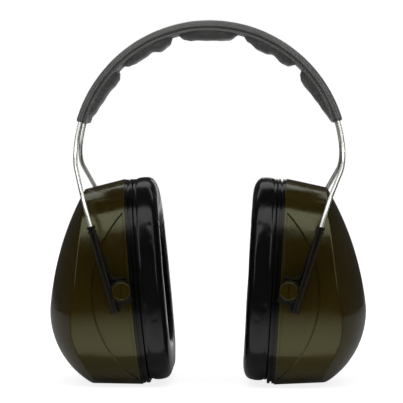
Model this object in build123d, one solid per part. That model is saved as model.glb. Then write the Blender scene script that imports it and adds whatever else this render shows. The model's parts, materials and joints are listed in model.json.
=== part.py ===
"""Passive over-the-head earmuffs: a twin-wire spring headband with a padded cover,
and two ear cups that slide on the wires and tilt on studs.

Frame: millimetres, +Z up, X across the head, Y front to back (front is -Y).
The origin is on the floor plane, under the middle of the bounding box.
Cup parts are modelled in a cup frame: +X away from the head, origin on the
tilt axis. Guide parts are modelled in a guide frame: +Z up along the tube.
"""
from build123d import *
import os
from math import acos, atan2, cos, degrees, hypot, radians, sin, sqrt, tan

# ---- headband wires -------------------------------------------------------
WIRE_R = 1.15                # spring wire radius
WIRE_Y_BAND = 13.0           # half spacing of the wires inside the cover
WIRE_Y_CUP = 45.0            # half spacing of the wires beside the cups
BEND_UPPER = (73.4, 122.0)   # X, Z where each wire starts to flare out
BEND_LOWER_Z = 102.0         # height where each wire ends its flare
BEND_R = 17.0                # inside bends of the wires
CHANNEL_GAP = 0.08           # clearance round a wire inside the cover

# ---- headband cover, as seen from the front --------------------------------
BAND_TOP = 197.9             # height of the top of the cover
BAND_R = 75.5                # outer radius of the cover
BAND_SHIFT = 0.7             # the wires flex, so the band sits this far towards +X
COVER_END = 74.0             # angle from its middle where the cover ends, degrees
COVER_SLIP = 0.9             # the cover has slid this far round towards -X, degrees
COVER_T = 5.6                # cover thickness
COVER_WIDTH = 35.0           # cover width, front to back
WIRE_DEPTH = 2.9             # wire centre below the cover's outer face
LINING_T = 0.8               # lining sheet under the cover
CORE_T = 2.6                 # foam core between the wires
PAD_T = 5.2                  # comfort pad thickness
PAD_WIDTH = 27.0             # comfort pad width, front to back
PAD_SPANS = {                # start and end angle from the cover's middle, degrees
    "pad_centre": (-12.6, 12.6),
    "pad_upper": (15.6, 43.5),
    "pad_lower": (46.5, 72.8),
}

# ---- ear cup, in the cup frame ---------------------------------------------
RIM_X = -4.5                 # plane of the cup rim
RIM_TOP = 57.3
RIM_BOTTOM = -54.5
RIM_HALF_Y = 43.0
WIDEST_Z = -6.0              # height of the widest point of the oval
TOP_R_STEP = 7.0             # half width minus the radius of the top arc
FLAT_HALF = 12.0             # half length of the flat under the cup
TAPER_TOP = 9.0              # wall tapers, degrees
TAPER_BOTTOM = 6.0
TAPER_SIDE = 5.5
WALL = 2.6                   # shell thickness
APEX_X = 43.7                # outermost point of the cup
APEX_Z = -15.0
FACE_R_LOW = 46.0            # vertical radius of the outer face below the apex
FACE_R_APEX = 40.0           # vertical radius just above the apex
APEX_TURN = 10.0             # angle of that arc
FACE_R_HIGH = 160.0          # vertical radius of the long upper part
FACE_R_PLAN = 61.0           # radius of the outer face seen from above
CREASE_R = 1.6               # rounding between the wall and the outer face
RECESS_DEPTH = 0.5           # pocket round the guide, front and rear
RECESS_EDGE_X = 16.7         # outermost point of the pocket's edge
RECESS_EDGE_Z = -5.0
RECESS_EDGE_R = 62.0
RIM_LIP = 1.4                # rim left standing beside the pocket
POCKET_STEP = 0.45           # width of the step in the pocket's long edge
LOWER_STATION = 46.0         # where the tapered wall is lofted to

# ---- tilt stud and wire guide ----------------------------------------------
STUD_R = 4.0
STUD_GAP = 0.08              # running clearance of the stud in the eye
CAP_R = 5.0
CAP_T = 0.9
CAP_LIP = 0.55                # raised edge round the cap
CAP_DISH = 0.3                # depth of the cap inside that edge
CAP_GAP = 0.15               # clearance round and under the cap
SHOULDER_R = 4.8
SLOT_W = 0.8
SLOT_D = 0.6
GUIDE_INNER_Y = 43.3         # plane of the guide plate that faces the cup
PLATE_T = 1.2
EYE_R = 6.0                  # outer radius of the guide's eye
EYE_T = 3.3
TUBE_R = 1.9
TUBE_GAP = 0.08              # running clearance of the wire in the tube
TUBE_SPAN = (-10.4, 37.2)    # tube ends along the wire, from the stud's height
COLLAR_R = 2.4
FOOT_R = 2.4
WEB_TOP = 33.0               # top of the thin web beside the tube
SLOPE = 16.2                 # wire and tube slope below the flare, degrees
TUBE_OFFSET = 6.4            # tube axis outward of the stud

# ---- cushion ----------------------------------------------------------------
PLATE_X = (-8.5, -4.5)       # cushion plate, face side and cup side
PLATE_INSET = 0.5
GROOVE_X = (-7.0, -6.0)
GROOVE_D = 1.0
CUSHION_FACE = -21.0
CUSHION_INSET = 1.1          # cushion inside the rim line at the sides
CUSHION_INSET_TOP = 0.4
CUSHION_INSET_LOW = 2.2
CUSHION_ROUND = 4.5
SKIN_T = 0.7
HOLE_HALF_Y = 21.0           # ear opening
HOLE_TOP = 35.5
HOLE_BOTTOM = -32.5
FOAM_T = 9.0                 # acoustic foam along the inside of the cup
SNAP_T = 1.6                 # snap ring that holds the plate in the cup
SNAP_DEPTH = 3.2

# ---- stance -----------------------------------------------------------------
PIVOT_X = 44.1               # tilt axis from the headband's middle, at PIVOT_Z
PIVOT_Z = 53.8
LEAN = 0.6                   # the headband leans towards +X, about LEAN_Z, degrees
LEAN_Z = 55.0
CUP_TILT = {"left": 5.3, "right": 3.3}


def band_point(angle, depth):
    """X and Z at an angle from vertical, at a depth below the outer face."""
    r = BAND_R - depth
    turn = radians(angle)
    return BAND_SHIFT + r * sin(turn), BAND_TOP - BAND_R + r * cos(turn)


def band_arc(start, end, depth, y):
    """Arc that follows the band between two angles."""
    points = [band_point(t, depth) for t in (start, (start + end) / 2, end)]
    return Edge.make_three_point_arc(*[Vector(x, y, z) for x, z in points])


def band_depth(edge):
    """Depth of an edge's middle below the band's outer face."""
    p = edge @ 0.5
    return BAND_R - hypot(p.X - BAND_SHIFT, p.Z - (BAND_TOP - BAND_R))


def band_strip(start, end, outer, inner, width):
    """A strip that follows the band, between two depths. Its angles are from the
    cover's middle."""
    y = -width / 2
    top = band_arc(start - COVER_SLIP, end - COVER_SLIP, outer, y)
    low = band_arc(start - COVER_SLIP, end - COVER_SLIP, inner, y)
    ends = [Edge.make_line(top @ 0, low @ 0), Edge.make_line(top @ 1, low @ 1)]
    return extrude(Face(Wire([top, low] + ends)), amount=width, dir=(0, 1, 0))


def tube_point(along, side=1):
    """Point on the wire's straight lower run, by distance from the stud."""
    turn = radians(SLOPE)
    x = PIVOT_X + TUBE_OFFSET * cos(turn) + along * sin(turn)
    z = PIVOT_Z - TUBE_OFFSET * sin(turn) + along * cos(turn)
    return side * x, z


def wire_path(y_sign):
    """Centre line of one headband wire, from its left end to its right end."""
    bx, bz = BEND_UPPER
    rise = bz - (BAND_TOP - BAND_R)
    leave = 90 - degrees(acos((BAND_R - WIRE_DEPTH) / hypot(bx, rise)) + atan2(rise, bx))
    along = (BEND_LOWER_Z - tube_point(0)[1]) / cos(radians(SLOPE))
    y_band = y_sign * WIRE_Y_BAND
    y_cup = y_sign * WIRE_Y_CUP
    edges = [band_arc(-leave, leave, WIRE_DEPTH, y_band)]
    for side in (-1, 1):
        ex, ez = band_point(side * leave, WIRE_DEPTH)
        tx, tz = tube_point(along, side)
        wx, wz = tube_point(TUBE_SPAN[0] + 1.0, side)
        corners = [
            Vector(ex, y_band, ez),
            Vector(BAND_SHIFT + side * bx, y_band, bz),
            Vector(tx, y_cup, tz),
            Vector(wx, y_cup, wz),
        ]
        edges += FilletPolyline(*corners, radius=BEND_R).edges()
    return Wire(edges)


def headband_wire(y_sign, radius=WIRE_R):
    """One spring wire, swept from end to end."""
    path = wire_path(y_sign)
    start = Plane(origin=path @ 0, z_dir=path % 0)
    return sweep(start * Circle(radius), path=path)


def wire_channel(y_sign):
    """Round channel for a wire inside the cover, a little beyond its ends."""
    reach = COVER_END + 1.0
    path = Wire([band_arc(-reach - COVER_SLIP, reach - COVER_SLIP, WIRE_DEPTH, y_sign * WIRE_Y_BAND)])
    start = Plane(origin=path @ 0, z_dir=path % 0)
    return sweep(start * Circle(WIRE_R + CHANNEL_GAP), path=path)


def core_strip(grow=0.0):
    """Foam core between the wires, or the space for it."""
    width = 2 * (WIRE_Y_BAND - WIRE_R - CHANNEL_GAP - 0.6) + 2 * grow
    reach = COVER_END - 2.0
    return band_strip(-reach, reach, 1.2 - grow, 1.2 + CORE_T + grow, width)


def headband_cover():
    """Outer cover: sleeve with channels for both wires and a core pocket."""
    body = band_strip(-COVER_END, COVER_END, 0, COVER_T - LINING_T, COVER_WIDTH)
    body = fillet([e for e in long_edges(body) if band_depth(e) < 0.5], radius=2.0)
    body -= wire_channel(-1)
    body -= wire_channel(1)
    return body - core_strip()


def long_edges(strip):
    """Edges of a strip that run along the band."""
    return [e for e in strip.edges() if abs((e @ 0).Y - (e @ 1).Y) < 0.01 and e.length > 12]


def headband_lining():
    """Sheet that closes the cover underneath and carries the pads."""
    return band_strip(-COVER_END, COVER_END, COVER_T - LINING_T, COVER_T, COVER_WIDTH - 2.0)


def comfort_pad(span):
    """One foam pad under the lining."""
    pad = band_strip(*span, COVER_T, COVER_T + PAD_T, PAD_WIDTH)
    inner = [e for e in pad.edges() if band_depth(e) > COVER_T + PAD_T - 0.6]
    return fillet(inner, radius=1.8)


def oval(x, inset):
    """Cup outline in the plane at x: arcs over the top, sides and bottom corners,
    and a short flat underneath."""
    out = x - RIM_X
    half = RIM_HALF_Y - out * tan(radians(TAPER_SIDE)) - inset
    top = RIM_TOP - out * tan(radians(TAPER_TOP)) - inset
    low = RIM_BOTTOM + out * tan(radians(TAPER_BOTTOM)) + inset
    return egg(x, half, top, low, half - TOP_R_STEP, FLAT_HALF)


def egg(x, half, top, low, top_r, flat):
    """Closed tangent-arc outline in the plane at x."""
    rise = top - top_r - WIDEST_Z
    side_r = (half**2 + rise**2 - top_r**2) / (2 * (half - top_r))
    fall = WIDEST_Z - low
    span = flat + side_r - half
    low_r = (side_r**2 - span**2 - fall**2) / (2 * (side_r - fall))
    side_c = Vector(half - side_r, WIDEST_Z)
    top_c = Vector(0, top - top_r)
    low_c = Vector(flat, low + low_r)
    t1 = top_c + (top_c - side_c).normalized() * top_r
    t2 = low_c + (low_c - side_c).normalized() * low_r
    middle = ((low_c - side_c).normalized() + Vector(0, -1)).normalized()
    m2 = low_c + middle * low_r

    def at(p, sign=1):
        return Vector(x, sign * p.X, p.Y)

    arc = Edge.make_three_point_arc
    edges = [arc(at(t1, -1), Vector(x, 0, top), at(t1))]
    side = Vector(half, WIDEST_Z)
    edges.append(arc(at(t1), at(side), at(t2)))
    edges.append(arc(at(t2), at(m2), at(Vector(flat, low))))
    edges.append(Edge.make_line(at(Vector(flat, low)), at(Vector(flat, low), -1)))
    edges.append(arc(at(Vector(flat, low), -1), at(m2, -1), at(t2, -1)))
    edges.append(arc(at(t2, -1), at(side, -1), at(t1, -1)))
    return Wire(edges)


def tapered(inset, start=RIM_X, end=LOWER_STATION):
    """Solid inside the cup's tapered wall, shrunk by an inset."""
    return Solid.make_loft([oval(start, inset), oval(end, inset)], True)


def face_wedge(point, lean, radius, turn, offset):
    """Part of the solid behind the cup's outer face: the face's section seen from
    above, turned through one arc of the face's profile."""
    reach = RIM_HALF_Y + 3.0 - offset
    bow = FACE_R_PLAN - offset
    edge_x = -offset - bow + sqrt(bow**2 - reach**2)
    depth = min(radius, 75.0)
    corners = [(-depth, -reach), (edge_x, -reach), (edge_x, reach), (-depth, reach)]
    pts = [Vector(x, y) for x, y in corners]
    edges = [
        Edge.make_line(pts[0], pts[1]),
        Edge.make_three_point_arc(pts[1], Vector(-offset, 0), pts[2]),
        Edge.make_line(pts[2], pts[3]),
        Edge.make_line(pts[3], pts[0]),
    ]
    section = Pos(point) * Rot(0, -lean, 0) * Face(Wire(edges))
    centre = point - Vector(cos(radians(lean)), 0, sin(radians(lean))) * radius
    return revolve(section, Axis(centre, (0, -1 if turn > 0 else 1, 0)), abs(turn))


def envelope(offset):
    """Solid behind the cup's domed outer face, shrunk by an offset."""
    apex = Vector(APEX_X, 0, APEX_Z)
    turn = radians(APEX_TURN)
    shoulder = apex + Vector(cos(turn) - 1, 0, sin(turn)) * FACE_R_APEX
    low = face_wedge(apex, 0, FACE_R_LOW, -95, offset)
    middle_part = face_wedge(apex, 0, FACE_R_APEX, APEX_TURN, offset)
    high = face_wedge(shoulder, APEX_TURN, FACE_R_HIGH, 30, offset)
    back = Pos(-10, 0, -5) * Box(20, 2 * RIM_HALF_Y + 6, 120)
    return low + middle_part + high + back


def cup_cavity(inset, start=RIM_X - 2.0):
    """Inside of the cup at a depth from its outer surface."""
    return tapered(inset, start) & envelope(inset)


def guide_pocket():
    """Shallow pocket in the wall, front and rear, where the guides lie. Its long edge
    steps down twice."""
    centre_x = RECESS_EDGE_X - RECESS_EDGE_R
    keep = Pos(RIM_X + RIM_LIP + 60, 0, 0) * Box(120, 120, 160)
    pocket = None
    for step in (1, 2):
        radius = RECESS_EDGE_R - (step - 1) * POCKET_STEP
        disc = Pos(centre_x, 0, RECESS_EDGE_Z) * Rot(90, 0, 0) * Cylinder(radius, 120)
        layer = (disc & keep) - tapered(RECESS_DEPTH * step / 2, RIM_X - 1.0)
        pocket = layer if pocket is None else pocket + layer
    return pocket


def tilt_stud(y_sign):
    """Snap stud on the cup wall that the guide's eye turns on."""
    up = (Align.CENTER, Align.CENTER, Align.MIN)
    base = RIM_HALF_Y - WALL
    cap_z = GUIDE_INNER_Y + EYE_T - CAP_T + CAP_GAP - base
    shaft = Cylinder(STUD_R, cap_z + 0.1, align=up)
    shoulder = Cylinder(SHOULDER_R, GUIDE_INNER_Y - CAP_GAP - base, align=up)
    cap = Cylinder(CAP_R, CAP_T + CAP_GAP, align=up)
    cap = Pos(0, 0, cap_z) * fillet(cap.edges().sort_by(Axis.Z)[-1], radius=0.35)
    top = cap_z + CAP_T + CAP_GAP
    dish_r = CAP_R - CAP_LIP
    dish = Pos(0, 0, top - CAP_DISH) * Cylinder(dish_r, 2, align=up)
    slot = Pos(0, 0, top - SLOT_D + 1) * Box(2 * dish_r - 0.6, SLOT_W, 2)
    stud = shaft + shoulder + cap - dish - slot
    # local +Z becomes the outward Y direction, the slot stays upright
    turned = Pos(0, -base, 0) * Rot(90, 0, 0) * Rot(0, 0, 90) * stud
    return turned if y_sign < 0 else turned.mirror(Plane.XZ)


def is_crease(edge, solid):
    """True for an edge between the domed outer face and the side wall."""
    faces = [f for f in solid.faces() if any(e.is_same(edge) for e in f.edges())]
    lean = sorted(abs(f.normal_at(f.center()).X) for f in faces)
    return len(lean) == 2 and lean[0] < 0.3 < 0.5 < lean[1] and (edge @ 0.5).X > 5


def cup_shell():
    """Cup shell with its guide pockets and tilt studs."""
    block = tapered(0) & envelope(0)
    crease = [e for e in block.edges() if is_crease(e, block)]
    block = fillet(crease, radius=CREASE_R)
    block -= guide_pocket()
    for y_sign in (-1, 1):
        block += tilt_stud(y_sign)
    return block - cup_cavity(WALL)


def cup_foam():
    """Acoustic foam that lines the cup, open toward the ear."""
    gap = 0.3
    start = RIM_X + SNAP_DEPTH + 1.0
    lining = tapered(WALL + gap, start) & envelope(WALL + gap)
    hollow = tapered(WALL + gap + FOAM_T, start - 1.0) & envelope(WALL + gap + FOAM_T)
    return lining - hollow


def hole(start, end, grow=0.0):
    """Ear opening as a straight oval prism between two X planes."""
    half = HOLE_HALF_Y + grow
    top = HOLE_TOP + grow
    low = HOLE_BOTTOM - grow
    wire = egg(start, half, top, low, half - 2.0, 3.0)
    return extrude(Face(wire), amount=end - start, dir=(1, 0, 0))


def rim_prism(start, end, inset, inset_top=None, inset_low=None):
    """Straight prism on the rim outline between two X planes."""
    half = RIM_HALF_Y - inset
    top = RIM_TOP - (inset if inset_top is None else inset_top)
    low = RIM_BOTTOM + (inset if inset_low is None else inset_low)
    wire = egg(start, half, top, low, half - TOP_R_STEP, FLAT_HALF)
    return extrude(Face(wire), amount=end - start, dir=(1, 0, 0))


def cushion_plate():
    """Hard plate behind the cushion, with a groove round it and a snap ring."""
    low, high = PLATE_X
    plate = rim_prism(low, high, PLATE_INSET)
    groove = rim_prism(*GROOVE_X, 0) - rim_prism(*GROOVE_X, PLATE_INSET + GROOVE_D)
    plate -= groove
    wall = WALL + 0.8
    ring = rim_prism(high - 0.5, high + SNAP_DEPTH, wall)
    ring -= rim_prism(high - 1.0, high + SNAP_DEPTH + 1, wall + SNAP_T)
    return (plate + ring) - hole(low - 1, high + 1, 1.5)


def cushion_block(shrink):
    """Rounded ring of the cushion, shrunk by an amount on every side."""
    low, high = CUSHION_FACE + shrink, PLATE_X[0] - shrink
    insets = (CUSHION_INSET, CUSHION_INSET_TOP, CUSHION_INSET_LOW)
    body = rim_prism(low, high, *[inset + shrink for inset in insets])
    face = body.edges().group_by(Axis.X)[0]
    body = fillet(face, radius=CUSHION_ROUND - shrink)
    bore = hole(low - 1, high + 1, shrink)
    ring = body - bore
    lip = [e for e in ring.edges().group_by(Axis.X)[0] if abs((e @ 0.5).Y) < 30]
    return fillet(lip, radius=CUSHION_ROUND - 0.5 - shrink)


def cushion_skin():
    """Vinyl skin of the cushion."""
    return cushion_block(0) - cushion_block(SKIN_T)


def slab(points, y, thickness):
    """A flat plate towards the front from the plane at y, outlined in X and Z."""
    outline = Wire.make_polygon([Vector(x, y, z) for x, z in points], close=True)
    return extrude(Face(outline), amount=thickness, dir=(0, -1, 0))


def wire_guide(y_sign):
    """Wire guide in the guide frame: tube with collars and foot, web, eye and rib."""
    low, high = TUBE_SPAN
    base = -GUIDE_INNER_Y
    tube_y = -WIRE_Y_CUP
    up = (Align.CENTER, Align.CENTER, Align.MIN)
    tube = Pos(TUBE_OFFSET, tube_y, low) * Cylinder(TUBE_R, high - low, align=up)
    for z, size in ((high - 1.4, 1.4), (high - 3.6, 1.2)):
        tube += Pos(TUBE_OFFSET, tube_y, z) * Cylinder(COLLAR_R, size, align=up)
    tube += Pos(TUBE_OFFSET, tube_y, low) * Cylinder(FOOT_R, 1.0, align=up)
    edge_x = -4.2
    # inner edge of the web and of the rib over the eye, from the top down
    upper = [(4.5, WEB_TOP), (3.7, 18.0), (3.5, 11.6), (2.9, 9.6), (1.6, 7.9), (-0.4, 7.2), (edge_x, 7.0)]
    under = [(edge_x, 6.1), (-0.2, 6.2), (2.0, 7.0), (3.7, 8.9), (4.4, 11.6), (4.7, 18.0), (5.3, WEB_TOP)]
    brace = [(edge_x, -6.9), (1.6, -7.6), (TUBE_OFFSET - 2.4, low + 1.0), (TUBE_OFFSET + 0.4, low)]
    plate = slab(upper + brace + [(TUBE_OFFSET + 0.4, WEB_TOP)], base, PLATE_T)
    eye = Pos(0, base, 0) * Rot(90, 0, 0) * Cylinder(EYE_R, EYE_T, align=up)
    keep = Pos(edge_x + 20, 0, 0) * Box(40, 120, 120)
    body = tube + plate + (eye & keep) + slab(upper + under, base, EYE_T - 0.4)
    bore_r = STUD_R + STUD_GAP
    body -= Pos(0, base + 1, 0) * Rot(90, 0, 0) * Cylinder(bore_r, EYE_T + 4, align=up)
    pocket_y = base - EYE_T + CAP_T
    body -= Pos(0, pocket_y, 0) * Rot(90, 0, 0) * Cylinder(CAP_R + CAP_GAP, 4, align=up)
    bore = Pos(TUBE_OFFSET, tube_y, low - 1) * Cylinder(WIRE_R + TUBE_GAP, high - low + 2, align=up)
    body -= bore
    return body if y_sign < 0 else body.mirror(Plane.XZ)


def lean(shape):
    """Turn a headband shape into its stance."""
    return Pos(0, 0, LEAN_Z) * Rot(0, LEAN, 0) * Pos(0, 0, -LEAN_Z) * shape


def pivot(side):
    """Tilt axis position, out from the middle plane: the cup is slid along its wires
    until it stands on z = 0."""
    tilt = radians(CUP_TILT[side])
    height = -min(
        z * cos(tilt) - x * sin(tilt)
        for x, z in ((RIM_X, RIM_BOTTOM), (PLATE_X[0], RIM_BOTTOM + PLATE_INSET))
    )
    sign = -1 if side == "left" else 1
    up, across = cos(radians(LEAN)), sign * sin(radians(LEAN))
    slope = tan(radians(SLOPE))
    start = PIVOT_X - PIVOT_Z * slope
    z = (height - LEAN_Z + start * across + LEAN_Z * up) / (up - slope * across)
    x = start + z * slope
    return x * up + (z - LEAN_Z) * across, height


def place(shape, side, angle):
    """Turn a +X shape about its tilt axis and stand it on its own side."""
    x, z = pivot(side)
    moved = Pos(x, 0, z) * Rot(0, angle, 0) * shape
    return moved.mirror(Plane.YZ) if side == "left" else moved


def middle(left, right):
    """X of the middle of the model: half way between the outer faces of the cups."""
    return (left.bounding_box().min.X + right.bounding_box().max.X) / 2


def headband_parts():
    """Nodes of the headband body."""
    parts = {
        "wire_front": headband_wire(-1),
        "wire_rear": headband_wire(1),
        "headband_cover": headband_cover(),
        "headband_lining": headband_lining(),
        "headband_core": core_strip(),
        "pad_centre": comfort_pad(PAD_SPANS["pad_centre"]),
    }
    for name in ("pad_upper", "pad_lower"):
        start, end = PAD_SPANS[name]
        parts[f"{name}_right"] = comfort_pad((start, end))
        parts[f"{name}_left"] = comfort_pad((-end, -start))
    return {name: lean(shape) for name, shape in parts.items()}


def side_parts():
    """Nodes of both cups and both pairs of guides."""
    cup = {
        "cup_shell": cup_shell(),
        "cup_foam": cup_foam(),
        "cushion_plate": cushion_plate(),
        "cushion_foam": cushion_block(SKIN_T),
        "cushion_skin": cushion_skin(),
    }
    guides = {"guide_front": wire_guide(-1), "guide_rear": wire_guide(1)}
    parts = {}
    for side, tilt in CUP_TILT.items():
        for name, shape in cup.items():
            parts[f"{name}_{side}"] = place(shape, side, tilt)
        slope = SLOPE - LEAN if side == "left" else SLOPE + LEAN
        for name, shape in guides.items():
            parts[f"{name}_{side}"] = place(shape, side, slope)
    return parts


def main():
    os.makedirs("parts", exist_ok=True)
    parts = headband_parts() | side_parts()
    shift = middle(parts["cup_shell_left"], parts["cup_shell_right"])
    for name, shape in parts.items():
        export_step(Pos(-shift, 0, 0) * shape, f"parts/{name}.step")


main()
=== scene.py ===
import json
import math

import bmesh
import bpy
import numpy as np
from mathutils import Matrix, Vector, noise


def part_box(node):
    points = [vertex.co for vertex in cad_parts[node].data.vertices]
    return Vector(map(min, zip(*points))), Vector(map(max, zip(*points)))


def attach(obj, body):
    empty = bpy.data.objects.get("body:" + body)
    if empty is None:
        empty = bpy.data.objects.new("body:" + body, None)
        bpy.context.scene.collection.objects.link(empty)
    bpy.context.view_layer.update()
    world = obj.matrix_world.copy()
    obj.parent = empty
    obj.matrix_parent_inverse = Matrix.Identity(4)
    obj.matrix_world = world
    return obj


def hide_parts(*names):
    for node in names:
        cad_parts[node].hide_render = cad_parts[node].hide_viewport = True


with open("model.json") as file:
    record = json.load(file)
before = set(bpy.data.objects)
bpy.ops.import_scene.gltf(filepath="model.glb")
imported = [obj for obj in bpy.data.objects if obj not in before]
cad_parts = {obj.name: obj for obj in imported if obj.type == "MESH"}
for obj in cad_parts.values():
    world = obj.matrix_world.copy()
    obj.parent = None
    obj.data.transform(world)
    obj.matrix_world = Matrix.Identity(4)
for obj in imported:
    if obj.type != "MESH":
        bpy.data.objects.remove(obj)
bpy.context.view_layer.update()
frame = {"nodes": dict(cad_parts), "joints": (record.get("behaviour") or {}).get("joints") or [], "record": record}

MM = 0.001
SIDES = ("left", "right")

# ---------------------------------------------------------------- dimensions
# Headband, as in the CAD: the cover is one arc seen from the front. Lengths are
# in mm, and angles in degrees from vertical.
BAND_R = 75.5
COVER_SPAN = (-74.3, 73.7)
COVER_T = 5.6
PAD_HALF = 13.2

# Ear cup, as in the CAD, in the cup's own frame, in mm: x away from the head,
# z up, and the tilt axis at the origin.
RIM_TOP = 57.3
RIM_BOTTOM = -54.5
RIM_HALF = 43.0
WIDEST_Z = -6.0
FLAT_HALF = 12.0
CUSHION_FACE = -21.0
HOLE_HALF = 21.0
HOLE_TOP = 35.5
HOLE_BOTTOM = -32.5
HOLE_FLAT = 3.0


# ------------------------------------------------------------------ node trees
class Nodes:
    """Shorthand for building a node tree."""

    def __init__(self, tree):
        self.tree = tree

    def add(self, kind, **values):
        """A node, with its settings or its inputs by name."""
        node = self.tree.nodes.new(kind)
        for key, value in values.items():
            if hasattr(node, key):
                setattr(node, key, value)
            else:
                node.inputs[key.replace("_", " ")].default_value = value
        return node

    def link(self, a, b):
        self.tree.links.new(a, b)

    def object_coords(self):
        return self.add("ShaderNodeTexCoord").outputs["Object"]

    def noise(self, coords, scale, detail=4.0):
        """Noise from 0 to 1, with about scale patches to the metre."""
        node = self.add("ShaderNodeTexNoise", Scale=scale, Detail=detail, Roughness=0.55)
        self.link(coords, node.inputs["Vector"])
        return node.outputs["Fac"]

    def ramp(self, factor, dark, light, spread):
        """A colour from dark to light as the factor crosses the spread."""
        node = self.add("ShaderNodeValToRGB")
        for stop, place, colour in zip(node.color_ramp.elements, spread, (dark, light)):
            stop.position = place
            stop.color = (*colour, 1.0)
        self.link(factor, node.inputs["Fac"])
        return node.outputs["Color"]

    def span(self, factor, low, high, spread=(0.0, 1.0), easing="LINEAR"):
        """A value from low to high as the factor crosses the spread."""
        node = self.add("ShaderNodeMapRange", interpolation_type=easing, From_Min=spread[0],
                        From_Max=spread[1], To_Min=low, To_Max=high)
        self.link(factor, node.inputs["Value"])
        return node.outputs["Result"]

    def product(self, first, *others):
        """The product of two or more values."""
        for other in others:
            node = self.add("ShaderNodeMath", operation="MULTIPLY")
            self.link(first, node.inputs[0])
            self.link(other, node.inputs[1])
            first = node.outputs["Value"]
        return first


class Material(Nodes):
    """A material built round its Principled BSDF."""

    def __init__(self, name):
        self.mat = bpy.data.materials.new(name)
        self.mat.use_nodes = True
        super().__init__(self.mat.node_tree)
        self.bsdf = self.tree.nodes["Principled BSDF"]

    def set(self, **values):
        """The same value all over the surface, on the shader's own sockets."""
        for key, value in values.items():
            self.bsdf.inputs[key.replace("_", " ")].default_value = value

    def drive(self, socket, output):
        """A value that changes over the surface."""
        self.link(output, self.bsdf.inputs[socket])

    def soft_edges(self, radius):
        """Normals with every edge rounded, as on a moulding, by a radius in mm."""
        return self.add("ShaderNodeBevel", samples=6, Radius=radius * MM).outputs["Normal"]

    def bump(self, height, strength, pit_depth_and_shade, below=None):
        """Normals with a relief of the given depth in mm, on top of those below it."""
        node = self.add("ShaderNodeBump", Strength=strength, Distance=pit_depth_and_shade * MM)
        self.link(height, node.inputs["Height"])
        if below is not None:
            self.link(below, node.inputs["Normal"])
        return node.outputs["Normal"]


# ------------------------------------------------------------------- materials
# The part of a noise's range over which a shade or a roughness changes.
WIDE = (0.3, 0.7)
NARROW = (0.35, 0.65)


def olive_plastic():
    """Glossy moulded olive plastic with fine orange peel on a faint wave."""
    m = Material("olive_gloss_plastic")
    at = m.object_coords()
    dark, light = (0.033, 0.0215, 0.0025), (0.042, 0.028, 0.0038)
    m.drive("Base Color", m.ramp(m.noise(at, 22.0), dark, light, NARROW))
    m.drive("Roughness", m.span(m.noise(at, 260.0, 6.0), 0.12, 0.22, NARROW))
    peel = m.bump(m.noise(at, 700.0, 2.0), 0.06, 0.2, below=m.soft_edges(0.45))
    m.drive("Normal", m.bump(m.noise(at, 45.0, 2.0), 0.12, 1.0, below=peel))
    m.set(IOR=1.5, Specular_IOR_Level=0.5, Specular_Tint=(0.93, 1.0, 0.62, 1.0))
    return m.mat


def black_plastic(name, roughness, grain, gloss, warm):
    """Black moulded plastic. Warm, from 0 to 1, casts its shade and gloss to brown."""
    m = Material(name)
    at = m.object_coords()
    cast = (1.0, 1.0 - warm / 2, 1.0 - warm)
    dark, light = (tuple(shade * part for part in cast) for shade in (0.0045, 0.0065))
    m.drive("Base Color", m.ramp(m.noise(at, 60.0), dark, light, WIDE))
    m.drive("Roughness", m.span(m.noise(at, 420.0, 5.0), *roughness, WIDE))
    m.drive("Normal", m.bump(m.noise(at, 1600.0, 3.0), grain, 0.1, below=m.soft_edges(0.35)))
    m.set(Specular_IOR_Level=gloss,
          Specular_Tint=(1.0, 1.0 - warm * 0.12, 1.0 - warm * 0.35, 1.0))
    return m.mat


def cushion_vinyl():
    """Glossy black vinyl with a very fine grain and soft dimples."""
    m = Material("cushion_vinyl")
    at = m.object_coords()
    dark, light = (0.0045, 0.0045, 0.0044), (0.008, 0.008, 0.0078)
    m.drive("Base Color", m.ramp(m.noise(at, 40.0), dark, light, WIDE))
    m.drive("Roughness", m.span(m.noise(at, 300.0, 6.0), 0.13, 0.24, WIDE))
    grain = m.bump(m.noise(at, 1400.0, 3.0), 0.10, 0.1)
    m.drive("Normal", m.bump(m.noise(at, 60.0, 3.0), 0.10, 1.2, below=grain))
    m.set(Specular_IOR_Level=0.27)
    return m.mat


def band_vinyl(name, low, high):
    """Soft grey vinyl with leather-like grain, between two shades of grey."""
    m = Material(name)
    at = m.object_coords()
    cells = m.add("ShaderNodeTexVoronoi", Scale=1100.0, feature="DISTANCE_TO_EDGE")
    m.link(at, cells.inputs["Vector"])
    pores = m.span(cells.outputs["Distance"], 0.0, 1.0, (0.0, 0.22))
    dark, light = ((shade, shade, shade * 0.97) for shade in (low, high))
    m.drive("Base Color", m.ramp(m.noise(at, 90.0, 5.0), dark, light, WIDE))
    m.drive("Roughness", m.span(m.noise(at, 500.0, 5.0), 0.34, 0.46, WIDE))
    grain = m.bump(pores, 0.04, 0.2)
    m.drive("Normal", m.bump(m.noise(at, 150.0, 3.0), 0.10, 0.8, below=grain))
    m.set(Sheen_Weight=0.15, Sheen_Roughness=0.4)
    return m.mat


def spring_wire():
    """Bright drawn stainless wire with faint drawing marks along its upright runs."""
    m = Material("spring_wire")
    at = m.object_coords()
    stretch = m.add("ShaderNodeMapping", Scale=(1.0, 1.0, 0.08))
    m.link(at, stretch.inputs["Vector"])
    marks = m.noise(stretch.outputs["Vector"], 420.0, 2.0)
    m.drive("Base Color", m.ramp(m.noise(at, 120.0), (0.82, 0.82, 0.76), (0.92, 0.92, 0.87), WIDE))
    m.drive("Roughness", m.span(marks, 0.24, 0.36, WIDE))
    m.drive("Normal", m.bump(marks, 0.03, 0.1))
    m.set(Metallic=0.95)
    return m.mat


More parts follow.
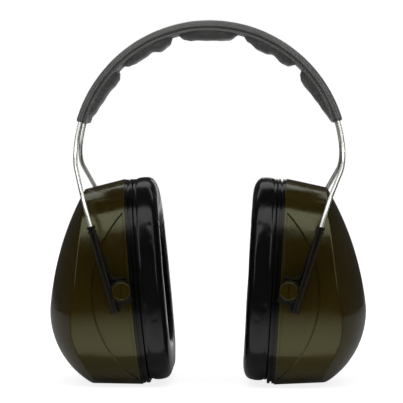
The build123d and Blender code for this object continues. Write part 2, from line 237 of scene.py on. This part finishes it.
def acoustic_foam():
    """Open-cell dark grey foam, with the pits of its cells painted darker as shade."""
    m = Material("acoustic_foam")
    at = m.object_coords()
    cells = m.add("ShaderNodeTexVoronoi", Scale=900.0)
    m.link(at, cells.inputs["Vector"])
    pit_depth_and_shade = cells.outputs["Distance"]
    # Painted shade: the cell pits are coloured darker than the cell walls, following their depth.
    m.drive("Base Color", m.ramp(pit_depth_and_shade, (0.006, 0.006, 0.006), (0.035, 0.035, 0.036), (0.1, 0.7)))
    m.drive("Roughness", m.span(m.noise(at, 300.0), 0.85, 1.0))
    m.drive("Normal", m.bump(pit_depth_and_shade, 0.8, 0.6))
    return m.mat


def pale_floor():
    """White glowing floor, like a light table. To the camera it glows a little less near the
    object, a painted shadow; to all other rays it glows only in a strip straight in front of the
    object, dimmed almost to nothing at the cups' foot, which the cups mirror as a painted reflection."""
    m = Material("pale_floor")
    m.set(Base_Color=(0.60, 0.60, 0.60, 1.0), Roughness=0.9, Specular_IOR_Level=0.1,
          Emission_Color=(1.0, 1.0, 1.0, 1.0))
    at = m.object_coords()
    place = m.add("ShaderNodeMapping", Scale=(1.0, 1.75, 1.0))
    m.link(at, place.inputs["Vector"])
    away = m.add("ShaderNodeVectorMath", operation="LENGTH")
    m.link(place.outputs["Vector"], away.inputs[0])
    # Painted shadow: to the camera the floor glows less near the object.
    shadow = m.span(away.outputs["Value"], 0.84, 1.0, (0.09, 0.20))
    split = m.add("ShaderNodeSeparateXYZ")
    m.link(at, split.inputs[0])
    aside = m.add("ShaderNodeMath", operation="ABSOLUTE")
    m.link(split.outputs["X"], aside.inputs[0])
    # Painted reflection: to other rays the floor glows only in a strip just in front of the cups, almost dark at
    # their foot, so their lower walls mirror a light band over a dark one.
    reflection_near_edge = m.span(split.outputs["Y"], 1.0, 0.03, (-0.056, -0.052))
    reflection_far_fade = m.span(split.outputs["Y"], 0.0, 1.0, (-0.19, -0.07))
    reflection_side_fade = m.span(aside.outputs["Value"], 1.0, 0.0, (0.09, 0.125))
    path = m.add("ShaderNodeLightPath")
    mix = m.add("ShaderNodeMix")
    m.link(path.outputs["Is Camera Ray"], mix.inputs["Factor"])
    m.link(m.product(reflection_near_edge, reflection_far_fade, reflection_side_fade), mix.inputs["A"])
    m.link(shadow, mix.inputs["B"])
    m.drive("Emission Strength", mix.outputs["Result"])
    return m.mat


def paint(obj, mat):
    """One material on the whole piece, replacing what it came with."""
    obj.data.materials.clear()
    obj.data.materials.append(mat)


# ---------------------------------------------------------------- mesh helpers
def add_object(name, data):
    """A new object at the origin, in the scene."""
    obj = bpy.data.objects.new(name, data)
    bpy.context.scene.collection.objects.link(obj)
    return obj


def apply_modifiers(obj):
    """Keep what the modifiers show as the object's own mesh."""
    shown = obj.evaluated_get(bpy.context.evaluated_depsgraph_get())
    mesh = bpy.data.meshes.new_from_object(shown)
    obj.modifiers.clear()
    obj.data = mesh


def subdivide(obj):
    """One level of subdivision, for good."""
    smooth = obj.modifiers.new("smooth", "SUBSURF")
    smooth.levels = smooth.render_levels = 1
    apply_modifiers(obj)


def ring_mesh(name, rings, closed=False):
    """A smooth mesh through rings of points: a tube that ends in flat caps, or one
    that closes on itself."""
    mesh = bpy.data.meshes.new(name)
    bm = bmesh.new()
    rings = [[bm.verts.new(point) for point in ring] for ring in rings]
    pairs = list(zip(rings, rings[1:]))
    if closed:
        pairs.append((rings[-1], rings[0]))
    count = len(rings[0])
    for a, b in pairs:
        for j in range(count):
            k = (j + 1) % count
            bm.faces.new((a[j], a[k], b[k], b[j]))
    if not closed:
        bm.faces.new(list(reversed(rings[0])))
        bm.faces.new(rings[-1])
    bmesh.ops.recalc_face_normals(bm, faces=bm.faces)
    for face in bm.faces:
        face.smooth = True
    bm.to_mesh(mesh)
    bm.free()
    return add_object(name, mesh)


def ripple(point, size, seed):
    """Smooth noise from -1 to 1, with bumps of about the given size in mm."""
    return noise.noise(point / (size * MM) + Vector((seed, seed * 0.7, -seed)))


ARC_POINTS = 60


def arc(centre, radius, start, end):
    """Points on an arc between two directions from its centre."""
    first, last = math.atan2(*start[::-1]), math.atan2(*end[::-1])
    return [centre + radius * np.array([math.cos(turn), math.sin(turn)])
            for turn in np.linspace(first, last, ARC_POINTS)]


def egg(half, top, low, top_r, flat, count):
    """Evenly spaced points round a cup outline, as (y, z) in mm: a round top, wide
    sides and a flat below. All its arcs are tangent, and it is widest at WIDEST_Z."""
    rise = top - top_r - WIDEST_Z
    side_r = (half**2 + rise**2 - top_r**2) / (2 * (half - top_r))
    fall = WIDEST_Z - low
    span = flat + side_r - half
    low_r = (side_r**2 - span**2 - fall**2) / (2 * (side_r - fall))
    side_c = np.array([half - side_r, WIDEST_Z])
    top_c = np.array([0.0, top - top_r])
    low_c = np.array([flat, low + low_r])
    up, down = ((c - side_c) / np.linalg.norm(c - side_c) for c in (top_c, low_c))
    right = arc(top_c, top_r, np.array([0.0, 1.0]), up)
    right += arc(side_c, side_r, up, down)[1:]
    right += arc(low_c, low_r, down, np.array([0.0, -1.0]))[1:]
    left = [p * np.array([-1.0, 1.0]) for p in reversed(right)]
    loop = np.array(right + left + right[:1])
    steps = np.linalg.norm(np.diff(loop, axis=0), axis=1)
    along = np.concatenate([[0.0], np.cumsum(steps)])
    wanted = np.linspace(0.0, along[-1], count, endpoint=False)
    return np.column_stack([np.interp(wanted, along, loop[:, k]) for k in (0, 1)])


def cup_placer(side):
    """A function from a place in the cup's frame, in mm, to one in the row frame."""
    joint = next(j for j in frame["joints"] if j["name"] == f"{side}_tilt")
    mount = next(m for m in frame["record"]["mounts"] if m["name"] == f"ear_seal_{side}")
    inward = Vector(mount["axis"])
    up = Vector((0, 1, 0)).cross(inward).normalized()
    if up.z < 0:
        up = -up
    pivot = Vector(joint["pos_m"])

    def at(x, y, z):
        return pivot - inward * (x * MM) + Vector((0, y * MM, 0)) + up * (z * MM)

    return at


# -------------------------------------------------------------------- headband
def band_centre():
    """X and Z in mm of the centre of the cover's arc."""
    low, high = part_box("headband_cover")
    left, right = (math.sin(math.radians(angle)) for angle in COVER_SPAN)
    return (low.x + high.x) / 2 / MM - BAND_R * (left + right) / 2, high.z / MM - BAND_R


BAND_X, BAND_Z = band_centre()


def on_band(angle, y, pit_depth_and_shade):
    """A point at an angle from vertical in degrees, at a depth under the band's
    outer face in mm."""
    turn = math.radians(angle)
    r = BAND_R - pit_depth_and_shade
    return Vector((BAND_X + r * math.sin(turn), y, BAND_Z + r * math.cos(turn))) * MM


# Half of the sleeve's section, from the middle of its top round to the middle of
# its underside, as (y, depth) in mm: a padded top, a groove, the wire's bulge, a
# second groove and the welded seam.
SLEEVE_SECTION = [
    (0.0, 0.0), (4.0, 0.02), (8.0, 0.10), (11.0, 0.26), (12.8, 0.50), (13.9, 0.90),
    (14.4, 1.35), (14.45, 1.70), (14.35, 1.95), (14.6, 2.15), (15.2, 2.35), (15.7, 2.75),
    (15.8, 3.20), (15.5, 3.70), (14.9, 4.10), (14.5, 4.40), (14.6, 4.70), (15.4, 4.90),
    (16.5, 5.00), (17.2, 5.20), (17.4, 5.50), (17.1, 5.85), (16.2, 6.00), (14.6, 5.85),
    (13.0, 5.80), (9.0, 5.90), (4.0, 6.00), (0.0, 6.00),
]
SLEEVE_SIDE_Y = 12.0
SLEEVE_SEAM_Y = 16.0
SLEEVE_MIDDLE = 3.1
SLEEVE_RINGS = 241
# The sleeve draws in by this share over this many degrees at each end.
SLEEVE_END_DRAW = 0.16
SLEEVE_END_SPAN = 1.1


def sleeve_point(angle, y, pit_depth_and_shade, inside):
    """A point of the sleeve's section with its creases. Inside runs from 0 at an
    end of the sleeve to 1 away from both ends."""
    draw = SLEEVE_END_DRAW * (1.0 - math.sqrt(max(0.0, 1.0 - (1.0 - inside) ** 2)))
    drawn_y = y * (1.0 - draw)
    drawn_depth = SLEEVE_MIDDLE + (pit_depth_and_shade - SLEEVE_MIDDLE) * (1.0 - draw)
    point = on_band(angle, drawn_y, drawn_depth)
    crease = ripple(point, 5.0, 3.0) * 0.10 + ripple(point, 16.0, 8.0) * 0.16
    if abs(y) <= SLEEVE_SIDE_Y:
        return on_band(angle, drawn_y, drawn_depth + crease * 0.5 * inside)
    seam = ripple(point, 9.0, 5.0) * 0.22 if abs(y) > SLEEVE_SEAM_Y else 0.0
    outward = math.copysign(seam + crease * 0.6, y)
    return on_band(angle, drawn_y + outward, drawn_depth + crease * inside)


def sleeve_mesh():
    """The cover round both wires, with creases that follow its bend."""
    half = SLEEVE_SECTION
    loop = half + [(-y, pit_depth_and_shade) for y, pit_depth_and_shade in reversed(half[1:-1])]
    start, stop = COVER_SPAN
    rings = []
    for angle in np.linspace(start, stop, SLEEVE_RINGS):
        inside = min(1.0, (angle - start) / SLEEVE_END_SPAN, (stop - angle) / SLEEVE_END_SPAN)
        rings.append([sleeve_point(angle, y, pit_depth_and_shade, inside) for y, pit_depth_and_shade in loop])
    return ring_mesh("headband_sleeve", rings)


# The pads under the sleeve: start and end angle, then their thickness in mm at
# some angles, as the padding bunches up.
PADS = {
    "pad_centre": (-14.0, 12.6, [(-12.0, 2.6), (-8.5, 3.9), (-1.0, 4.4), (5.0, 4.3), (9.0, 3.6)]),
    "pad_upper_left": (-43.0, -17.2, [(-40.5, 2.3), (-37.5, 3.2), (-32.0, 3.4), (-28.5, 2.7),
                                      (-24.5, 4.7), (-20.0, 3.4)]),
    "pad_upper_right": (15.8, 42.0, [(18.6, 2.2), (24.1, 4.2), (28.1, 4.1), (31.6, 2.6),
                                     (36.6, 3.9), (39.5, 3.2)]),
    "pad_lower_left": (-71.8, -46.2, [(-66.5, 1.9), (-61.0, 2.7), (-56.5, 2.9), (-52.5, 3.8),
                                      (-49.5, 3.6), (-47.6, 2.2)]),
    "pad_lower_right": (46.2, 72.2, [(47.6, 2.2), (50.0, 3.6), (53.0, 3.9), (58.5, 3.3),
                                     (65.0, 2.2)]),
}
# A pad's thickness at its edges, how deep its back sinks into the sleeve, and how
# near to the sleeve its skin is welded down, in mm.
PAD_EDGE = 0.25
PAD_SUNK = 0.35
PAD_WELD = 0.45
PAD_STEPS = 56
PAD_STEPS_ACROSS = 24
PAD_STEPS_BACK = 12


def smooth_between(knots, at):
    """A height between (place, height) pairs, eased at each one."""
    for (a, low), (b, high) in zip(knots, knots[1:]):
        if at <= b:
            t = (at - a) / (b - a)
            return low + (high - low) * t * t * (3 - 2 * t)
    return knots[-1][1]


def pad_mesh(name, start, end, heights):
    """One soft pad: flat against the sleeve, crowned towards the head."""
    knots = [(start, PAD_EDGE)] + heights + [(end, PAD_EDGE)]
    rings = []
    for i in range(PAD_STEPS + 1):
        t = 0.5 - 0.5 * math.cos(math.pi * i / PAD_STEPS)
        angle = start + (end - start) * t
        edge = abs(2 * t - 1)
        width = PAD_HALF * (1.0 - edge ** 5) ** 0.25 + 0.3
        height = smooth_between(knots, angle)
        ring = []
        for k in range(PAD_STEPS_ACROSS + 1):
            v = -math.cos(math.pi * k / PAD_STEPS_ACROSS)
            crown = max(0.0, 1.0 - abs(v) ** 3.2) ** 0.62
            point = on_band(angle, v * width, COVER_T + 0.3)
            pucker = 0.20 * ripple(point, 3.0, 2.0) * abs(v) ** 2 + 0.28 * ripple(point, 7.0, 6.0)
            rise = PAD_EDGE + max(0.0, height + pucker * min(1.0, height / 2)) * crown
            ring.append(on_band(angle, v * width, COVER_T + rise))
        for k in range(1, PAD_STEPS_BACK):
            v = 0.92 * math.cos(math.pi * k / PAD_STEPS_BACK)
            ring.append(on_band(angle, v * width, COVER_T - PAD_SUNK))
        rings.append(ring)
    return ring_mesh(f"{name}_soft", rings)


# ------------------------------------------------------------------ ear cushion
def cushion_section(reach):
    """Section of the cushion from the plate round its face and back into the ear
    hole: distance in from the outline and x, in mm, across a ring reach mm wide."""
    points = [(2.2, -8.55), (0.8, -8.6), (0.3, -8.9), (0.15, -9.6), (0.3, -10.1),
              (0.42, -10.35), (0.28, -10.6), (0.0, -11.2), (-0.15, -12.5), (-0.25, -14.1),
              (-0.15, -15.7)]
    outer_r, inner_r = 3.9, 4.3
    for k in range(9):
        turn = math.radians(10 * k + 8)
        points.append((outer_r - 0.05 - outer_r * math.cos(turn),
                       CUSHION_FACE + outer_r + 0.15 - outer_r * math.sin(turn)))
    for k in range(1, 8):
        t = k / 8
        points.append((outer_r + (reach - outer_r - inner_r) * t,
                       CUSHION_FACE + 0.1 - 0.75 * math.sin(math.pi * t) ** 0.8))
    for k in range(9):
        turn = math.radians(10 * k + 6)
        points.append((reach - inner_r + inner_r * math.sin(turn),
                       CUSHION_FACE + inner_r + 0.1 - inner_r * math.cos(turn)))
    points += [(reach + 0.5, -15.1), (reach + 0.6, -13.5), (reach + 0.4, -11.9),
               (reach + 0.1, -10.5), (reach - 0.2, -9.4), (reach - 1.6, -8.55)]
    return points


# How far the cushion stands inside the cup's rim at its sides, top and bottom, in mm.
RIM_INSET = 1.1
RIM_INSET_TOP = 0.4
RIM_INSET_BOTTOM = 2.2
# Creases fade in from the first x, over some mm, and the cloth pass moves only the
# skin past the second.
PLATE_X = -8.7
CREASE_FADE = 3.0
CUSHION_WELD_X = -10.8
PUCKERS = 41
CUSHION_RINGS = 200


def cushion_mesh(side):
    """Crowned vinyl ring with a welded seam by the plate and puckers in the hole."""
    at = cup_placer(side)
    half = RIM_HALF - RIM_INSET
    outer = egg(half, top=RIM_TOP - RIM_INSET_TOP, low=RIM_BOTTOM + RIM_INSET_BOTTOM,
                top_r=half - 7.0, flat=FLAT_HALF, count=CUSHION_RINGS)
    inner = egg(HOLE_HALF, top=HOLE_TOP, low=HOLE_BOTTOM, top_r=HOLE_HALF - 2.0,
                flat=HOLE_FLAT, count=CUSHION_RINGS)
    rings = []
    for i, (rim, hole) in enumerate(zip(outer, inner)):
        turn = 2 * math.pi * i / CUSHION_RINGS
        reach = float(np.linalg.norm(hole - rim))
        way = (hole - rim) / reach
        ring = []
        for u, x in cushion_section(reach):
            y, z = rim + way * u
            spot = Vector((x, y, z)) * MM
            into_hole = min(1.0, max(0.0, (u - reach * 0.55) / (reach * 0.45)))
            off_plate = min(1.0, max(0.0, (PLATE_X - x) / CREASE_FADE))
            gather = (0.30 * math.sin(PUCKERS * turn + 5 * ripple(spot, 14.0, 1.0))
                      + 0.35 * ripple(spot, 5.0, 4.0))
            pucker = into_hole**2 * off_plate * gather
            soft = off_plate * 0.22 * ripple(spot, 15.0, 7.0)
            y, z = rim + way * (u + pucker * 0.9 + soft * 0.5)
            ring.append(at(x + soft + pucker * 0.5, y, z))
        rings.append(ring)
    return ring_mesh(f"ear_cushion_{side}", rings, closed=True)


def cup_lining(side):
    """Open-cell foam pressed into the cup: the CAD lining with soft, uneven faces."""
    obj = add_object(f"cup_lining_{side}", frame["nodes"][f"cup_foam_{side}"].data.copy())
    even = obj.modifiers.new("even", "REMESH")
    even.mode = "VOXEL"
    even.voxel_size = 1.4 * MM
    apply_modifiers(obj)
    places = [v.co.copy() for v in obj.data.vertices]
    normals = [v.normal.copy() for v in obj.data.vertices]
    for vertex, place, normal in zip(obj.data.vertices, places, normals):
        soft = ripple(place, 11.0, 2.0) * 0.5 + ripple(place, 2.2, 9.0) * 0.14 - 0.25
        vertex.co = place + normal * soft * MM
    obj.data.shade_smooth()
    return obj


# ------------------------------------------------------------------ cloth pass
# The cloth is worked out at ten times its size, where the solver is steadier.
CLOTH_SCALE = 10.0
CLOTH_FRAMES = 20


def points_of(mesh):
    """The mesh's points, one to a row."""
    flat = np.empty(len(mesh.vertices) * 3)
    mesh.vertices.foreach_get("co", flat)
    return flat.reshape(-1, 3)


def inflate(obj, welded, pressure, grow, cap):
    """Blow a skin up with its welded points held. Grow is the share by which the
    cloth stretches, and cap the furthest that a point may move, in mm."""
    mesh = obj.data
    start = points_of(mesh)
    group = obj.vertex_groups.new(name="welded")
    group.add([v.index for v in mesh.vertices if welded(v.co)], 1.0, "REPLACE")
    mesh.transform(Matrix.Scale(CLOTH_SCALE, 4))
    cloth = obj.modifiers.new("cloth", "CLOTH")
    settings = cloth.settings
    settings.quality = 5
    settings.mass = 0.2
    settings.tension_stiffness = settings.compression_stiffness = 15.0
    settings.shear_stiffness = 5.0
    settings.bending_stiffness = 0.4
    settings.use_pressure = True
    settings.uniform_pressure_force = pressure
    settings.shrink_min = -grow
    settings.vertex_group_mass = "welded"
    settings.effector_weights.gravity = 0.0
    cloth.collision_settings.use_collision = False
    cloth.collision_settings.use_self_collision = False
    cloth.point_cache.frame_start = 1
    cloth.point_cache.frame_end = CLOTH_FRAMES
    scene = bpy.context.scene
    for step in range(1, CLOTH_FRAMES + 1):
        scene.frame_set(step)
    shown = obj.evaluated_get(bpy.context.evaluated_depsgraph_get())
    shift = points_of(shown.data) / CLOTH_SCALE - start
    length = np.linalg.norm(shift, axis=1, keepdims=True)
    limit = cap * MM
    shift *= np.where(length > limit, limit / np.maximum(length, 1e-9), 1.0)
    obj.modifiers.remove(cloth)
    obj.vertex_groups.remove(group)
    scene.frame_set(1)
    mesh.vertices.foreach_set("co", (start + shift).ravel())
    mesh.update()
    print(f"{obj.name}: cloth moved the skin by {length.mean() / MM:.2f} mm on average, "
          f"{length.max() / MM:.2f} mm at most before the cap")


# ------------------------------------------------------------- materials on CAD
olive = olive_plastic()
guide_black = black_plastic("guide_plastic", (0.30, 0.40), grain=0.01, gloss=0.45, warm=0.5)
plate_black = black_plastic("plate_plastic", (0.14, 0.22), grain=0.03, gloss=0.25, warm=0.1)
vinyl = cushion_vinyl()
sleeve_grey = band_vinyl("band_vinyl", 0.080, 0.110)
pad_grey = band_vinyl("pad_vinyl", 0.065, 0.090)
steel = spring_wire()
foam = acoustic_foam()

# The material of each CAD node: the first entry that its name starts with.
NODE_MATERIALS = {
    "wire": steel,
    "cup_shell": olive,
    "cup_foam": foam,
    "guide": guide_black,
    "cushion_plate": plate_black,
    "cushion_skin": vinyl,
    "cushion_foam": foam,
    "headband_core": foam,
    "headband": sleeve_grey,
    "pad": pad_grey,
}
for node, obj in frame["nodes"].items():
    paint(obj, next(mat for start, mat in NODE_MATERIALS.items() if node.startswith(start)))

# ------------------------------------------------------------------ soft pieces
sleeve = sleeve_mesh()
subdivide(sleeve)
paint(sleeve, sleeve_grey)
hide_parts("headband_cover", "headband_core", "headband_lining")
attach(sleeve, "headband")

pads = []
band_axis = Vector((BAND_X, 0, BAND_Z)) * MM
pad_weld_r = (BAND_R - COVER_T - PAD_WELD) * MM
for name, (start, end, heights) in PADS.items():
    pad = pad_mesh(name, start, end, heights)
    inflate(pad, lambda co: math.hypot(co.x - band_axis.x, co.z - band_axis.z) > pad_weld_r,
            pressure=4.0, grow=0.03, cap=0.7)
    subdivide(pad)
    paint(pad, pad_grey)
    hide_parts(name)
    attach(pad, "headband")
    pads.append(pad)

for side in SIDES:
    cushion = cushion_mesh(side)
    at = cup_placer(side)
    origin = at(0, 0, 0)
    inward = (at(-1, 0, 0) - origin).normalized()
    inflate(cushion, lambda co: (co - origin).dot(inward) < -CUSHION_WELD_X * MM,
            pressure=2.5, grow=0.004, cap=0.35)
    subdivide(cushion)
    paint(cushion, vinyl)
    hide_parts(f"cushion_skin_{side}", f"cushion_foam_{side}")
    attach(cushion, f"cup_{side}")
    lining = cup_lining(side)
    paint(lining, foam)
    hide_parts(f"cup_foam_{side}")
    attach(lining, f"cup_{side}")


# ---------------------------------------------------------------- stage, light
# In metres, in the row frame.
FLOOR_R = 0.6
FLOOR_Y = 0.38
LIGHT_AIM = Vector((0, 0, 0.10))
LIGHT_DISTANCE = 0.9


def floor():
    """A pale disc just under the object, mostly behind it."""
    turns = np.linspace(0, 2 * math.pi, 128, endpoint=False)
    rim = [(FLOOR_R * math.cos(t), FLOOR_Y + FLOOR_R * math.sin(t), -0.2 * MM) for t in turns]
    mesh = bpy.data.meshes.new("studio_floor")
    mesh.from_pydata(rim, [], [range(len(rim))])
    obj = add_object("studio_floor", mesh)
    paint(obj, pale_floor())


def surround():
    """White to the camera. It lights the object faintly, more from behind."""
    world = bpy.data.worlds.new("studio")
    bpy.context.scene.world = world
    world.use_nodes = True
    w = Nodes(world.node_tree)
    w.tree.nodes.clear()
    split = w.add("ShaderNodeSeparateXYZ")
    w.link(w.add("ShaderNodeTexCoord").outputs["Generated"], split.inputs[0])
    glow = w.span(split.outputs["Y"], 0.012, 0.045, (-0.10, 0.25), easing="SMOOTHSTEP")
    faint = w.add("ShaderNodeBackground", Color=(1.0, 1.0, 1.0, 1.0))
    w.link(glow, faint.inputs["Strength"])
    white = w.add("ShaderNodeBackground", Color=(1.0, 1.0, 1.0, 1.0), Strength=1.0)
    mix = w.add("ShaderNodeMixShader")
    w.link(w.add("ShaderNodeLightPath").outputs["Is Camera Ray"], mix.inputs["Fac"])
    w.link(faint.outputs[0], mix.inputs[1])
    w.link(white.outputs[0], mix.inputs[2])
    w.link(mix.outputs[0], w.add("ShaderNodeOutputWorld").inputs["Surface"])


def area(name, place, target, size, radiance):
    """A rectangular light that faces its target."""
    light = bpy.data.lights.new(name, "AREA")
    light.shape = "RECTANGLE"
    light.size, light.size_y = size
    light.energy = radiance * math.pi * light.size * light.size_y
    obj = add_object(name, light)
    obj.location = place
    obj.rotation_euler = (Vector(target) - Vector(place)).to_track_quat("-Z", "Y").to_euler()
    return obj


def soft_light(name, elevation, half_spread, width, radiance):
    """A soft box over the front or the back, by the angles it covers as seen from the
    object: an elevation past 90 degrees is behind it."""
    turn = math.radians(elevation)
    place = LIGHT_AIM + Vector((0, -math.cos(turn), math.sin(turn))) * LIGHT_DISTANCE
    height = 2 * LIGHT_DISTANCE * math.tan(math.radians(half_spread))
    return area(name, place, LIGHT_AIM, (width, height), radiance)


def strip_light(name, azimuth):
    """A tall narrow light to one side in front: thin highlights along every edge."""
    turn = math.radians(azimuth)
    place = (LIGHT_DISTANCE * math.sin(turn), -LIGHT_DISTANCE * math.cos(turn), 0.45)
    return area(name, place, LIGHT_AIM, (0.10, 0.55), 4.0)


def link_only(light, objects):
    """Let a light fall on these pieces only."""
    lit = bpy.data.collections.new(light.name)
    for obj in objects:
        lit.objects.link(obj)
    light.light_linking.receiver_collection = lit


def headband_lights():
    """Broad lights for the headband alone, which the cups would mirror."""
    wires = [frame["nodes"][f"wire_{end}"] for end in ("front", "rear")]
    sleeve_fill = soft_light("sleeve_fill", elevation=12, half_spread=13, width=1.1, radiance=2.6)
    link_only(sleeve_fill, [sleeve] + pads)
    wire_fill = soft_light("wire_fill", elevation=18, half_spread=24, width=2.8, radiance=1.15)
    link_only(wire_fill, wires)
    link_only(area("overhead", (0.0, 0.15, 1.0), LIGHT_AIM, (1.6, 0.7), 1.3), wires)


def camera():
    """A long lens, from a little above and a little to the right of the front."""
    distance, azimuth, elevation = 1.087, math.radians(1.9), math.radians(3.0)
    focus = Vector((-0.0036, 0.0, 0.0989))
    away = Vector((math.sin(azimuth) * math.cos(elevation),
                   -math.cos(azimuth) * math.cos(elevation), math.sin(elevation)))
    data = bpy.data.cameras.new("camera")
    data.sensor_width = 36.0
    data.lens = 176.9
    obj = add_object("camera", data)
    obj.location = focus + away * distance
    obj.rotation_euler = (-away).to_track_quat("-Z", "Y").to_euler()
    bpy.context.scene.camera = obj


floor()
surround()
soft_light("soft_box", elevation=56, half_spread=12, width=1.6, radiance=2.3)
soft_light("rear_box", elevation=124, half_spread=12, width=1.6, radiance=1.2)
area("back_panel", (0.03, 0.30, 0.11), (0.0, 0.0, 0.11), (0.06, 0.24), 0.7)
for side, azimuth in zip(SIDES, (-60, 60)):
    strip_light(f"strip_{side}", azimuth)
headband_lights()
camera()
bpy.context.scene.view_settings.view_transform = "Standard"
